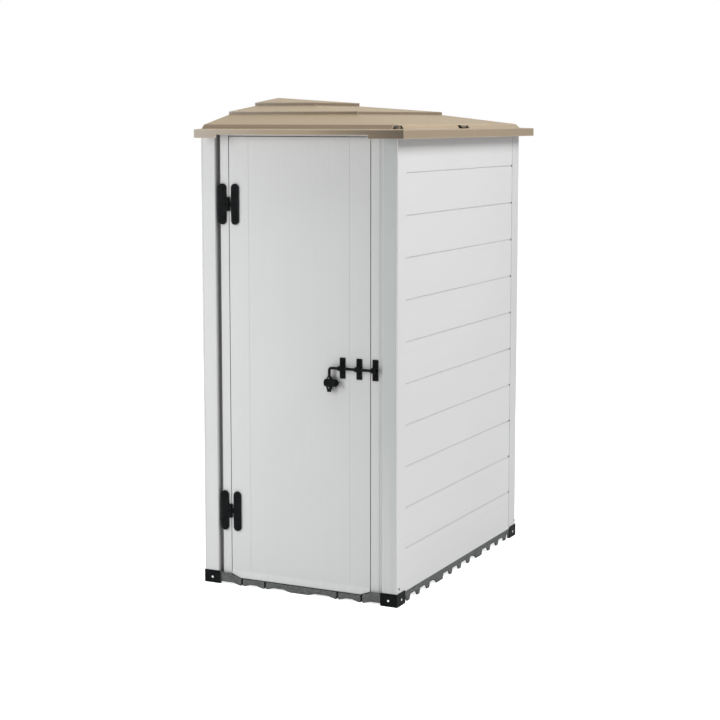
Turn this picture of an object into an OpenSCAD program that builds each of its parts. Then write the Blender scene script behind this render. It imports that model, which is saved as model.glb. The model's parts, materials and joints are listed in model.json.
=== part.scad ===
// Resin garden shed with one hinged door, a sliding bolt and a stepped half-pyramid roof.
// Origin: on the ground, under the middle of the floor. The door faces -Y. Millimetres.

/* [Overall] */
// Width over the two side walls
body_w = 825; // [800:5:900]
// Depth over the front and rear posts
body_d = 1225; // [1100:5:1400]
// Height of the top edge of the walls above the ground
wall_top = 1756; // [1650:1:1900]

/* [Floor tiles] */
// Height of the floor tiles
floor_h = 44; // [40:1:56]
// Number of rows of tiles from front to rear
floor_rows = 3; // [2:1:4]
// Gap left between neighbouring tiles
tile_gap = 0.3; // [0.1:0.1:0.8]
// Thickness of a tile's deck
deck_t = 6; // [4:0.5:9]
// Thickness of the skirt round a tile
skirt_t = 6; // [4:0.5:9]
// Distance that the skirts stand back from the posts' outer faces
skirt_setback = 3; // [1:0.5:6]
// Number of rows of square feet under a tile, in each direction
foot_rows = 2; // [1:1:4]
// Side length of those feet
foot_w = 34; // [20:1:60]
// Height of the arches in the side skirts
side_arch_h = 20; // [10:1:26]
// Width of the small feet between the side arches
side_foot_w = 20; // [12:1:40]
// Width of the wide foot where two tiles meet
seam_foot_w = 60; // [40:1:90]
// Number of arches in a tile's side skirt
side_arches = 4; // [2:1:5]
// Length of the steep end of a side arch
arch_steep = 6; // [2:1:15]
// Length of the sloped end of a side arch
arch_slope = 15; // [8:1:25]
// Height of the shallow arches in the front skirts
front_arch_h = 8; // [2:0.5:12]
// Length of the sloped ends of a front arch
front_arch_slope = 28; // [8:1:34]
// Width of the upright slots in the front skirts
slot_w = 9.5; // [4:0.5:14]
// Depth of the upright slots
slot_deep = 18; // [7:0.5:24]
// Wall of the socket behind a slot
slot_wall = 3; // [2:0.5:5]
// Distance of the first slot from a tile's left edge
slot_1 = 163; // [120:1:200]
// Distance of the second slot from a tile's left edge
slot_2 = 264; // [220:1:300]
// Height of the stubs that stand inside the posts
stub_h = 40; // [30:1:80]

/* [Foot brackets] */
// Length of a bracket along the front or the rear
bracket_x = 68; // [50:1:90]
// Length of a bracket along the side
bracket_y = 72; // [50:1:90]
// Height of a bracket
bracket_h = 50; // [46:1:70]
// Thickness of a bracket's plate
bracket_t = 2; // [1.5:0.5:3]
// Radius of the bracket's outline corners
bracket_r = 5; // [2:0.5:10]
// Height of the bracket's screws above the ground
bracket_screw_z = 23; // [15:1:30]

/* [Posts] */
// Depth of the front posts
front_post_d = 72; // [60:1:90]
// Width of the rear posts
rear_post_w = 62.5; // [50:0.5:80]
// Depth of the rear posts
rear_post_d = 78; // [60:1:90]
// Wall thickness of the hollow posts
post_wall = 4; // [3:0.5:6]
// Radius of the posts' soft upright edges
post_r = 6; // [2:0.5:9]
// Clearance between a post and the stub inside it
stub_clear = 0.3; // [0.1:0.1:0.8]
// Height of the post screws above the floor
post_screw_up = 22; // [15:1:28]
// Distance of the front posts' screws from the posts' front faces
post_screw_front = 19.5; // [14:0.5:40]
// Distance of the rear posts' screws from the posts' rear faces
post_screw_rear = 10; // [8:0.5:30]

/* [Wall panels] */
// Overall thickness of a wall panel
wall_t = 22; // [18:1:30]
// Thickness of the outer skin
skin_t = 6; // [4:0.5:8]
// Thickness of the rim and the ribs behind the skin
rib_t = 6; // [4:0.5:10]
// Number of pockets between the ribs
pockets = 4; // [2:2:6]
// Seam between the skin and the front post that it covers
skin_seam = 0.5; // [0.2:0.1:1]
// Open joint between a panel and the rear posts
panel_joint = 3; // [1:0.5:5]
// Height of the lowest groove's deepest line above the floor
groove_first = 163.5; // [100:0.5:200]
// Height from one groove to the next
groove_pitch = 155.1; // [120:0.1:200]
// Height of a groove
groove_h = 8; // [5:0.5:12]
// Height of a groove's steep upper face
groove_steep = 3; // [0.6:0.1:4]
// Depth of a groove
groove_deep = 3; // [1:0.5:3.5]
// Length of the notch at a groove's rear end
groove_notch = 15; // [8:1:25]
// Depth of that notch
notch_deep = 3.5; // [1:0.5:3.5]
// Plain margin at a groove's free end
groove_margin = 5.5; // [3:0.5:20]
// Plain strip above the highest groove
plain_top = 60; // [40:1:150]

/* [Doorway] */
// Clear width between the jambs
doorway_w = 600; // [560:1:620]
// Width of a jamb
jamb_w = 35; // [35:1:52]
// Depth of the jambs and of the door
jamb_d = 28; // [24:1:34]
// Wall thickness of a jamb
jamb_wall = 4; // [3:0.5:6]
// Distance that the jambs and the door stand back from the posts
jamb_setback = 12; // [6:0.5:20]
// Width of the upright groove between a jamb and its post
post_groove = 15; // [9:0.5:20]
// Depth of the tongue that closes that groove at the hinge side
tongue_d = 12; // [8:1:16]
// Distance of the tongue behind the jamb's face at the bolt side
tongue_in = 1; // [0.5:0.5:6]
// Width of the stop that the closed door rests behind
stop_w = 12; // [8:1:18]
// Thickness of the door stop
stop_t = 6; // [4:0.5:10]
// Height of the rail above the door
head_h = 20; // [16:1:40]

/* [Door] */
// Gap round the door
door_gap = 3; // [2.5:0.5:6]
// Distance that the door's bottom hangs below the floor's top
door_drop = 14; // [6:1:18]
// Width of each cut corner at the door's bottom
door_corner = 39; // [20:1:60]
// Gap below the door's bottom edge
sill_gap = 3.5; // [2:0.5:6]
// Thickness of the door's outer skin
door_skin = 5; // [4:0.5:8]
// Width of the solid stiles at the door's sides
stile_w = 50; // [46:1:70]
// Height of the solid rail behind the bolt
lock_rail_h = 100; // [90:1:160]
// Width of the door's ribs and end rails
door_rib = 12; // [8:1:30]
// Clearance between the closed door and its stop
stop_clear = 0.5; // [0.3:0.1:1.5]
// Distance of the two fine grooves from the door's middle
fine_x = 213; // [150:1:240]
// Width of a fine groove
fine_w = 6; // [3:0.5:10]
// Depth of a fine groove
fine_deep = 1.2; // [0.5:0.1:2]
// Height of the sloped drip edge at the door's bottom
drip_h = 38; // [20:1:60]
// Distance that the drip edge stands out at the bottom
drip_out = 3; // [1:0.5:5]
// Height of the sloped strip at the door's top
top_slope_h = 16; // [8:1:30]
// Distance that this strip leans back at the top
top_slope_in = 2; // [0.5:0.5:4]

/* [Hinges] */
// Height of the lower hinge above the floor
hinge_low_up = 248; // [160:1:460]
// Distance of the upper hinge below the door's top
hinge_high_down = 255; // [200:1:480]
// Height of a hinge leaf
leaf_h = 155; // [120:1:180]
// Width of a hinge leaf
leaf_w = 31; // [24:1:32]
// Thickness of a hinge leaf
leaf_t = 6; // [4:0.5:7]
// Distance of a leaf's edge from the hinge axis
leaf_off = 12; // [10:0.5:12]
// Height of the knuckles together
knuckle_h = 51; // [36:1:70]
// Outer radius of the knuckles
knuckle_r = 6.5; // [5:0.1:8]
// Radius of the hinge pin
pin_r = 3; // [2:0.1:3.5]
// Radius of the pin's head
pin_head_r = 4.6; // [4.1:0.1:5]
// Thickness of the pin's head
pin_head_h = 2; // [1:0.5:3]
// Gap between the knuckles and the faces behind them
knuckle_gap = 0.5; // [0.3:0.1:1]
// Gap between one knuckle and the next
knuckle_step = 0.4; // [0.3:0.1:1]
// Radial clearance of the pin in its knuckles
pin_clear = 0.05; // [0.02:0.01:0.1]
// Distance of the outer screws from the middle of a leaf
leaf_screw_z = 60; // [45:1:68]

/* [Bolt] */
// Height of the bolt above the ground
bolt_z = 881; // [700:1:1000]
// Radius of the bolt's rod
rod_r = 5.2; // [4:0.1:6]
// Width of the saddle plates
saddle_w = 22; // [16:1:30]
// Height of the saddle plates
saddle_h = 78; // [60:1:84]
// Thickness of the saddle plates
saddle_t = 3; // [2:0.5:5]
// Thickness of the saddle's strap over the rod
strap_t = 3.5; // [2:0.5:5]
// Clearance of the rod in the two guides
guide_clear = 0.1; // [0.05:0.01:0.2]
// Clearance of the rod in the keeper
keeper_clear = 0.6; // [0.4:0.1:1.5]
// Distance of the outer guide from the door's edge
guide_outer_in = 44.5; // [30:0.5:60]
// Distance of the inner guide from the door's edge
guide_inner_in = 113.5; // [90:0.5:130]
// Distance of the keeper from the jamb's edge
keeper_in = 18.4; // [16:0.1:26]
// Gap between the rod's tip and the keeper when the door is free
tip_gap = 2.5; // [1:0.5:3]
// Travel of the rod into the keeper
bolt_travel = 24; // [18:1:30]
// Length of the taper at the rod's tip
tip_taper = 2; // [1:0.5:3]
// Radius of the bend in the bolt's arm
bend_r = 10; // [8:0.5:16]
// Straight length of the arm before the bend
arm_stub = 2.5; // [1:0.5:6]
// Gap left between the arm and the guide with the bolt shot
end_clear = 0.5; // [0.3:0.1:2]
// Radius of the spigot on which the arm turns
spigot_r = 2.2; // [1.5:0.1:2.4]
// Length of that spigot
spigot_l = 7; // [4:0.5:8]
// Gap at the spigot's end
spigot_end = 0.5; // [0.2:0.1:1]
// Radial clearance of the spigot in the arm
spigot_clear = 0.05; // [0.02:0.01:0.1]
// Drop from the rod to the middle of the grip
grip_drop = 56; // [54:1:70]
// Radius of the grip
grip_r = 14; // [10:0.5:15]
// Length of the grip
grip_l = 53; // [46:1:80]
// Length of the grip beyond the arm's left side
grip_left = 17; // [15:0.5:25]
// Length of the taper at the grip's right end
grip_taper = 7; // [2:0.5:9]
// Gap between the grip and the door
grip_clear = 2; // [1:0.5:5]
// Width of the diamond plate at the grip
diamond_w = 25; // [20:1:27]
// Reach of the diamond plate above the grip's middle
diamond_up = 24; // [23:1:36]
// Reach of the diamond plate below the grip's middle
diamond_down = 34; // [26:1:40]
// Width of the diamond plate's blunt ends
diamond_end = 11; // [8:1:14]
// Half height of the diamond plate's widest part
diamond_waist = 8.5; // [4:0.5:10]
// Thickness of the diamond plate beyond the arm's own
diamond_more = 0.6; // [0.2:0.1:2]
// Clearance between the grip and the diamond plate
diamond_clear = 0.1; // [0.05:0.05:0.5]
// Distance of the rivets above and below the grip's middle
rivet_up = 18; // [17:0.5:22]
// Radius of a rivet's head
rivet_r = 3; // [2.6:0.1:4]
// Height of a rivet's head
rivet_h = 1.2; // [0.6:0.1:2]

/* [Screws] */
// Radius of a screw's shank
screw_r = 2; // [1.5:0.1:2.5]
// Radius of a screw's head
screw_head_r = 4.2; // [3.5:0.1:5]
// Radius of the flat crown of a screw's head
screw_crown_r = 2.5; // [1.5:0.1:3.4]
// Height of a screw's head
screw_head_h = 2.2; // [1.5:0.1:3]
// Height of the straight side of a screw's head
screw_side_h = 1.3; // [0.5:0.1:1.4]
// Length of the cross in a screw's head
cross_l = 4.4; // [3:0.1:5]
// Width of the cross
cross_w = 1; // [0.6:0.1:1.4]
// Depth of the cross
cross_deep = 1.3; // [0.5:0.1:1.4]
// Length of a screw's shank
screw_l = 14; // [12:1:16]
// Radial clearance of a screw in its hole
screw_clear = 0.05; // [0.02:0.01:0.2]

/* [Roof] */
// Thickness of the roof's shell
roof_t = 4; // [3:0.5:6]
// Height of the apex above the walls
apex_rise = 129.5; // [115:0.5:180]
// Depth of the top tier from the middle line
tier_1_y = 195.5; // [150:0.5:240]
// Length of the top tier from the left wall's face
tier_1_x = 275.5; // [220:0.5:320]
// Height of the top tier's edge above the walls
tier_1_rise = 108; // [102:0.5:112]
// Height of the step below the top tier
tier_1_step = 13; // [8:0.5:16]
// Depth of the middle tier from the middle line
tier_2_y = 401.5; // [340:0.5:440]
// Length of the middle tier from the left wall's face
tier_2_x = 559.5; // [480:0.5:620]
// Height of the middle tier's edge above the walls
tier_2_rise = 71.5; // [64:0.5:80]
// Height of the step below the middle tier
tier_2_step = 12; // [8:0.5:16]
// Height of the lowest tier's edge above the walls
tier_3_rise = 22; // [16:0.5:34]
// Height of the roof's slope where it meets the eaves
eaves_rise = 6.5; // [5:0.5:10]
// Distance of the eaves line inside the posts' front and rear faces
eaves_in_y = 5.5; // [4:0.5:10]
// Distance of the eaves line outside the right wall
eaves_out_x = 3.5; // [1:0.5:8]
// Run of the lowest tier's steep edge at front and rear
lean_y = 19; // [10:1:30]
// Run of the lowest tier's steep edge at the right side
lean_x = 11; // [6:1:20]
// Overhang of the eaves at front and rear
over_y = 50; // [30:1:80]
// Overhang of the eaves at the right side
over_x = 46; // [30:1:80]
// Drop of the fascia below the walls' top
fascia_drop = 28; // [20:1:40]
// Half width of the fascia's notch over the door
notch_half = 316; // [305:1:330]
// Rise of the fascia's notch over the door
notch_rise = 13; // [10:1:20]
// Gap between the two halves of the roof
roof_seam = 0.4; // [0.2:0.1:1]
// Distance of the seat rib inside the walls' outer faces
seat_in = 12; // [8:0.5:16]
// Width of the cross beam
beam_w = 40; // [30:1:60]
// Height of the cross beam
beam_h = 25; // [20:1:40]
// Wall thickness of the cross beam
beam_wall = 2; // [1.5:0.5:4]
// Thickness of the gable panel
gable_t = 6; // [4:0.5:9]
// Width of the window in the roof's right edge, over the joint
window_w = 104; // [80:1:140]
// Margin of the windows below the lowest tier's edge
window_margin = 2; // [1:0.5:4]
// Width of the round clip in that window
clip_w = 76; // [50:1:78]
// Drop of that clip's round edge
clip_drop = 10; // [6:0.5:12]
// Distance that the clip stands back from the eaves line
clip_in = 3; // [2:0.5:6]
// Gap between a clip and the edges of its window
clip_clear = 0.3; // [0.1:0.1:1]
// Reach of the corner window along the front
corner_front = 30; // [20:1:40]
// Reach of the corner window along the side
corner_side = 36; // [25:1:60]
// Gap beside the corner clip at the front end of its window
corner_front_gap = 3; // [1:0.5:5]
// Gap beside the corner clip at the rear end of its window
corner_rear_gap = 10; // [2:0.5:16]
// Thickness of the corner clip
corner_clip_t = 7; // [5:0.5:9]
// Height of the corner clip
corner_clip_h = 9; // [7:0.5:13]
// Distance of the corner clip's screw from the seat rib's outer face
corner_screw_in = 6.2; // [6.1:0.1:8]

/* [Hidden] */
$fn = 48;
e = 1; // extra length of every cutting solid

half_w = body_w / 2;
half_d = body_d / 2;
wall_h = wall_top - floor_h;

tile_w = body_w / 2;
tile_d = body_d / floor_rows;

front_post_in = doorway_w / 2 + jamb_w + post_groove;
front_post_out = half_w - skin_t - skin_seam;
front_post_back = -half_d + front_post_d;
rear_post_front = half_d - rear_post_d;
rear_post_in = half_w - rear_post_w;

face_y = -half_d + jamb_setback;
jamb_back = face_y + jamb_d;
door_half = doorway_w / 2 - door_gap;
door_top = wall_top - head_h - door_gap;
door_bottom = floor_h - door_drop;
sill_z = door_bottom - sill_gap;
hinge_low_z = floor_h + hinge_low_up;
hinge_high_z = door_top - hinge_high_down;

panel_front = front_post_back + skin_seam;
panel_rear = rear_post_front - panel_joint;
groove_count = floor((wall_h - plain_top - groove_first) / groove_pitch) + 1;

hinge_x = -doorway_w / 2 + door_gap / 2;
hinge_y = face_y - knuckle_gap - knuckle_r;
knuckle_one = (knuckle_h - 2 * knuckle_step) / 3;

rod_y = face_y - grip_r - grip_clear;
guide_inner_x = door_half - guide_inner_in;
guide_outer_x = door_half - guide_outer_in;
keeper_x = doorway_w / 2 + keeper_in;
rod_start = guide_inner_x - saddle_w / 2 - bolt_travel - end_clear;
rod_tip = keeper_x - saddle_w / 2 - tip_gap;
arm_x = rod_start - arm_stub - bend_r;
grip_z = bolt_z - grip_drop;
diamond_t = 2 * rod_r + diamond_more;
saddle_screw_z = (saddle_h / 2 + rod_r + strap_t) / 2;

apex_z = wall_top + apex_rise;
eaves_y = half_d - eaves_in_y;
eaves_x = half_w + eaves_out_x;
edge_y = half_d + over_y;
edge_x = half_w + over_x;
fascia_z = wall_top - fascia_drop;
rib_x = half_w - seat_in;
rib_y = -half_d + seat_in;
corner_y = -eaves_y + lean_y;
clip_low = wall_top + eaves_rise + clip_clear;
window_top = wall_top + tier_3_rise - window_margin;

rows = ["front", "middle", "rear"];
row_names = [for (i = [0:floor_rows - 1]) i == 0 ? rows[0] : i == floor_rows - 1 ? rows[2]
    : floor_rows == 3 ? rows[1] : str(rows[1], "_", i)];
sides = ["left", "right"];
tile_names = [for (r = row_names, s = sides) str("floor_tile_", r, "_", s)];
corner_names = ["front_left", "front_right", "rear_left", "rear_right"];
bracket_names = [for (c = corner_names) str("foot_bracket_", c)];
post_names = [for (c = corner_names) str("post_", c)];

// Helpers

// Draws its children as they are for side 1 and mirrored left to right for side -1
module on_side(side) {
    mirror([side < 0 ? 1 : 0, 0, 0]) children();
}

// A box between two corners
module box(lo, hi) {
    translate(lo) cube(hi - lo);
}

// A rectangle between two corners
module area(lo, hi) {
    translate(lo) square(hi - lo);
}

// A screw whose head sits on the plane z = 0 and whose shank runs down
module screw() {
    difference() {
        union() {
            cylinder(r = screw_head_r, h = screw_side_h);
            translate([0, 0, screw_side_h])
                cylinder(r1 = screw_head_r, r2 = screw_crown_r, h = screw_head_h - screw_side_h);
        }
        for (turn = [0, 90]) rotate([0, 0, turn])
            translate([-cross_l / 2, -cross_w / 2, screw_head_h - cross_deep])
                cube([cross_l, cross_w, cross_deep + e]);
    }
    translate([0, 0, -screw_l]) cylinder(r = screw_r, h = screw_l);
}

// The hole for that screw
module screw_hole() {
    translate([0, 0, -screw_l - e]) cylinder(r = screw_r + screw_clear, h = screw_l + 2 * e);
}

// Turns a screw so that its head faces the front, or one side
module facing_front(x, y, z) {
    translate([x, y, z]) rotate([90, 0, 0]) children();
}

module facing_side(side, x, y, z) {
    on_side(side) translate([x, y, z]) rotate([0, 90, 0]) children();
}

// Floor

// Left end, front end and index of each tile
function tile_x(c) = c * tile_w - half_w;
function tile_y(r) = r * tile_d - half_d;

// One side arch in its own plane: steep on one end, sloped on the other
module side_arch(start, length) {
    polygon([[start, -e], [start, 0], [start + arch_steep, side_arch_h],
        [start + length - arch_slope, side_arch_h], [start + length, 0], [start + length, -e]]);
}

module side_arch_row() {
    run = tile_d - seam_foot_w;
    arch_l = (run - (side_arches - 1) * side_foot_w) / side_arches;
    for (i = [0:side_arches - 1])
        side_arch(seam_foot_w / 2 + i * (arch_l + side_foot_w), arch_l);
}

// The shallow arches between the slots of a front or rear skirt
module front_arch_row() {
    stops = [seam_foot_w / 2, slot_1, slot_2, tile_w - seam_foot_w / 2];
    for (i = [0:2]) {
        start = stops[i] + slot_w;
        stop = stops[i + 1] - slot_w;
        polygon([[start, -e], [start, 0], [start + front_arch_slope, front_arch_h],
            [stop - front_arch_slope, front_arch_h], [stop, 0], [stop, -e]]);
    }
}

// The space in the front skirts in which the door's bottom hangs
module sill_rebate() {
    top = floor_h + e;
    edge = doorway_w / 2;
    flat = door_half - door_corner - sill_gap;
    translate([0, jamb_back + stop_clear, 0]) rotate([90, 0, 0])
        linear_extrude(jamb_d + jamb_setback + stop_clear + e)
            polygon([[-edge, top], [-edge, floor_h - sill_gap], [-flat, sill_z],
                [flat, sill_z], [edge, floor_h - sill_gap], [edge, top]]);
}

// The block round that space, from which the sill's shelf and upright are cut
module sill_block(from, to) {
    box([from, -half_d + skirt_setback, sill_z - deck_t],
        [to, jamb_back + stop_clear + skirt_t, floor_h]);
}

// The stub that stands inside a post, for a corner tile
module post_stub(front) {
    y0 = front ? -half_d + post_wall : rear_post_front + post_wall;
    y1 = front ? front_post_back - post_wall : half_d - post_wall;
    x0 = (front ? front_post_in : rear_post_in) + post_wall;
    x1 = (front ? front_post_out : half_w) - post_wall;
    box([x0 + stub_clear, y0 + stub_clear, floor_h - deck_t],
        [x1 - stub_clear, y1 - stub_clear, floor_h + stub_h]);
}

// A slot that ends blind, in a socket behind the skirt. front is the skirt's outer face
module slot_space(front) {
    box([-slot_w / 2, front - e, -e], [slot_w / 2, front + slot_deep, floor_h - deck_t / 2]);
}

module slot_socket(front) {
    box([-slot_w / 2 - slot_wall, front + skirt_t - e, 0],
        [slot_w / 2 + slot_wall, front + slot_deep + slot_wall, floor_h - deck_t / 2]);
}

// The two slots of a tile at the front, or mirrored at the rear
module slot_places(c, end_y) {
    for (x = [slot_1, slot_2])
        translate([tile_x(c) + x, 0, 0]) mirror([0, end_y > 0 ? 1 : 0, 0]) children();
}

module floor_tile(r, c) {
    outer_x = c == 0 ? -1 : 1;
    end_y = r == 0 ? -1 : r == floor_rows - 1 ? 1 : 0;
    left = tile_x(c) + (c == 0 ? skirt_setback : tile_gap / 2);
    right = tile_x(c) + tile_w - (c == 1 ? skirt_setback : tile_gap / 2);
    front = tile_y(r) + (r == 0 ? skirt_setback : tile_gap / 2);
    rear = tile_y(r) + tile_d - (end_y == 1 ? skirt_setback : tile_gap / 2);
    color("dimgray") difference() {
        union() {
            difference() {
                box([left, front, 0], [right, rear, floor_h]);
                box([left + skirt_t, front + skirt_t, -e],
                    [right - skirt_t, rear - skirt_t, floor_h - deck_t]);
                for (x = [left, right - skirt_t])
                    translate([x - e, tile_y(r), 0]) rotate([90, 0, 90])
                        linear_extrude(skirt_t + 2 * e) side_arch_row();
                for (y = [front, rear - skirt_t])
                    translate([tile_x(c), y + skirt_t + e, 0]) rotate([90, 0, 0])
                        linear_extrude(skirt_t + 2 * e) front_arch_row();
            }
            for (i = [1:foot_rows], k = [1:foot_rows])
                translate([tile_x(c) + i * tile_w / (foot_rows + 1) - foot_w / 2,
                    tile_y(r) + k * tile_d / (foot_rows + 1) - foot_w / 2, 0])
                    cube([foot_w, foot_w, floor_h - deck_t / 2]);
            if (r == 0)
                sill_block(c == 0 ? -doorway_w / 2 - skirt_t : left,
                    c == 0 ? right : doorway_w / 2 + skirt_t);
            if (end_y != 0) {
                on_side(outer_x) post_stub(end_y < 0);
                on_side(outer_x) bracket_seat(end_y);
                slot_places(c, end_y) slot_socket(-half_d + skirt_setback);
            }
        }
        if (end_y != 0) slot_places(c, end_y) slot_space(-half_d + skirt_setback);
        if (r == 0) sill_rebate();
        bracket_screw_places() screw_hole();
        post_screw_places() screw_hole();
    }
}

// Solid corner of a tile, flush with the posts, on which a foot bracket sits
module bracket_seat(end_y) {
    mirror([0, end_y > 0 ? 1 : 0, 0]) difference() {
        box([half_w - bracket_x, -half_d, 0], [half_w, -half_d + bracket_y, floor_h]);
        box([half_w - bracket_x - e, -half_d + skirt_t + skirt_setback, -e],
            [half_w - skirt_t - skirt_setback, -half_d + bracket_y + e, floor_h - deck_t]);
    }
}

// Foot brackets

module bracket_screw_places() {
    for (sx = [-1, 1], sy = [-1, 1]) {
        mirror([0, sy > 0 ? 1 : 0, 0]) on_side(sx)
            facing_front(half_w - bracket_x / 2, -half_d - bracket_t, bracket_screw_z) children();
        mirror([0, sy > 0 ? 1 : 0, 0])
            facing_side(sx, half_w + bracket_t, -half_d + bracket_y / 2, bracket_screw_z) children();
    }
}

// Outline of one leg of a bracket: rounded at its free end
module bracket_leg(length) {
    difference() {
        square([length, bracket_h]);
        difference() {
            translate([-e, -e]) square([bracket_r + e, bracket_h + 2 * e]);
            translate([bracket_r, bracket_r]) circle(bracket_r);
            translate([bracket_r, bracket_h - bracket_r]) circle(bracket_r);
            translate([-e, bracket_r]) square([bracket_r + e, bracket_h - 2 * bracket_r]);
        }
    }
}

module foot_bracket(sx, sy) {
    color("black") difference() {
        mirror([0, sy > 0 ? 1 : 0, 0]) on_side(sx) {
            translate([half_w - bracket_x, -half_d, 0]) rotate([90, 0, 0])
                linear_extrude(bracket_t) bracket_leg(bracket_x + bracket_t);
            translate([half_w, -half_d + bracket_y, 0]) rotate([90, 0, 90])
                linear_extrude(bracket_t) mirror([1, 0]) bracket_leg(bracket_y + bracket_t);
        }
        bracket_screw_places() screw_hole();
    }
}

module foot_bracket_screws() {
    color("silver") bracket_screw_places() screw();
}

// Posts

// A hollow post between two corners, its given corner softened
module hollow_post(lo, hi, soft) {
    translate([0, 0, floor_h]) linear_extrude(wall_h) difference() {
        difference() {
            area(lo, hi);
            translate(soft) difference() {
                square(2 * post_r, center = true);
                translate([soft[0] == lo[0] ? post_r : -post_r, soft[1] == lo[1] ? post_r : -post_r])
                    circle(post_r);
                translate([soft[0] == lo[0] ? 0 : -2 * post_r, soft[1] == lo[1] ? post_r : -3 * post_r])
                    square(2 * post_r);
                translate([soft[0] == lo[0] ? post_r : -3 * post_r, soft[1] == lo[1] ? 0 : -2 * post_r])
                    square(2 * post_r);
            }
        }
        area(lo + [post_wall, post_wall], hi - [post_wall, post_wall]);
    }
}

// The four screws that hold the posts on their stubs
module post_screw_places() {
    z = floor_h + post_screw_up;
    for (side = [-1, 1]) {
        facing_side(side, half_w, -half_d + post_screw_front, z) children();
        facing_side(side, half_w, half_d - post_screw_rear, z) children();
    }
}

module front_post(side) {
    color("gainsboro") difference() {
        on_side(side) hollow_post([front_post_in, -half_d], [front_post_out, front_post_back],
            [front_post_in, -half_d]);
        post_screw_places() screw_hole();
    }
}

module rear_post(side) {
    color("gainsboro") difference() {
        on_side(side) hollow_post([rear_post_in, rear_post_front], [half_w, half_d],
            [half_w, half_d]);
        post_screw_places() screw_hole();
    }
}

module post_screws() {
    color("silver") post_screw_places() screw();
}

// Wall panels

// Section of a groove: a steep upper face and a sloped lower face
module groove_section() {
    low = groove_steep - groove_h;
    polygon([[e, groove_steep], [0, groove_steep], [-groove_deep, 0], [0, low], [e, low]]);
}

// All grooves of a panel whose outer face is x = 0 and which runs along y
module groove_rows(from, to, notch_at) {
    for (i = [0:groove_count - 1])
        translate([0, 0, floor_h + groove_first + i * groove_pitch]) {
            translate([0, to, 0]) rotate([90, 0, 0]) linear_extrude(to - from) groove_section();
            if (notch_at > 0)
                box([-notch_deep, notch_at - groove_notch, -groove_h / 2],
                    [e, notch_at + e, groove_h / 2]);
        }
}

// Pockets behind the skin of a panel that runs along y
module pocket_row(from, to) {
    pitch = (to - from - rib_t) / pockets;
    for (i = [0:pockets - 1])
        box([-wall_t - e, from + rib_t + i * pitch, floor_h + rib_t],
            [-skin_t, from + (i + 1) * pitch, wall_top - rib_t]);
}

// A side wall, drawn on the right. Its skin reaches forward over the front post
module side_wall(side) {
    color("whitesmoke") difference() {
        on_side(side) translate([half_w, 0, 0]) difference() {
            union() {
                box([-skin_t, -half_d, floor_h], [0, panel_rear, wall_top]);
                box([-wall_t, panel_front, floor_h], [-skin_t / 2, panel_rear, wall_top]);
            }
            pocket_row(panel_front, panel_rear);
            groove_rows(panel_front, panel_rear - groove_margin, panel_rear);
        }
        post_screw_places() screw_hole();
    }
}

// The rear wall stands between the rear posts
module wall_rear() {
    reach = rear_post_in - panel_joint;
    color("whitesmoke") translate([0, half_d, 0]) rotate([0, 0, 90]) difference() {
        box([-wall_t, -reach, floor_h], [0, reach, wall_top]);
        pocket_row(-reach, reach);
        groove_rows(-reach + groove_margin, reach - groove_margin, 0);
    }
}

// Doorway

module jamb(side) {
    inner = doorway_w / 2;
    outer = inner + jamb_w;
    tongue_front = side < 0 ? jamb_back - tongue_d : face_y + tongue_in;
    color("gainsboro") difference() {
        on_side(side) translate([0, 0, floor_h]) linear_extrude(wall_h) difference() {
            union() {
                area([inner, face_y], [outer, jamb_back]);
                area([outer - e, tongue_front], [outer + post_groove, jamb_back]);
                area([inner - stop_w, jamb_back + stop_clear],
                    [inner + jamb_wall, jamb_back + stop_clear + stop_t]);
                area([inner, jamb_back - e], [inner + jamb_wall, jamb_back + stop_clear + stop_t]);
            }
            area([inner + jamb_wall, face_y + jamb_wall], [outer - jamb_wall, jamb_back - jamb_wall]);
        }
        hinge_screw_places(-1) screw_hole();
        saddle_screw_places([keeper_x]) screw_hole();
    }
}

// The rail above the door, with the top stop behind the door
module head_rail() {
    inner = doorway_w / 2;
    color("gainsboro") {
        difference() {
            box([-inner, face_y, wall_top - head_h], [inner, jamb_back, wall_top]);
            box([-inner - e, face_y + jamb_wall, wall_top - head_h + jamb_wall],
                [inner + e, jamb_back - jamb_wall, wall_top - jamb_wall]);
        }
        box([-inner + stop_w, jamb_back + stop_clear, door_top - stop_w],
            [inner - stop_w, jamb_back + stop_clear + stop_t, wall_top]);
        box([-inner + stop_w, jamb_back - jamb_wall / 2, wall_top - head_h],
            [inner - stop_w, jamb_back + stop_clear + e, wall_top]);
    }
}

// Door

module door_outline() {
    low = door_bottom;
    polygon([[-door_half, floor_h], [-door_half + door_corner, low],
        [door_half - door_corner, low], [door_half, floor_h],
        [door_half, door_top], [-door_half, door_top]]);
}

// The pockets behind the door's skin, between its stiles, rails and ribs
module door_pockets() {
    x = [-door_half + stile_w, -door_rib / 2, door_rib / 2, door_half - stile_w];
    low_0 = floor_h + door_rib;
    low_1 = bolt_z - lock_rail_h / 2;
    high_0 = bolt_z + lock_rail_h / 2;
    high_1 = door_top - door_rib;
    low_mid = (low_0 + low_1) / 2;
    high_mid = (high_0 + high_1) / 2;
    z = [low_0, low_mid - door_rib / 2, low_mid + door_rib / 2, low_1,
        high_0, high_mid - door_rib / 2, high_mid + door_rib / 2, high_1];
    for (i = [0, 2], k = [0, 2, 4, 6])
        box([x[i], face_y + door_skin, z[k]], [x[i + 1], jamb_back + e, z[k + 1]]);
}

// A fine upright groove pressed into the door's skin
module fine_groove(x) {
    translate([x, face_y, door_bottom + drip_h])
        linear_extrude(door_top - top_slope_h - door_bottom - drip_h)
            polygon([[-fine_w / 2, -e], [-fine_w / 2, 0], [0, fine_deep], [fine_w / 2, 0], [fine_w / 2, -e]]);
}

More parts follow.
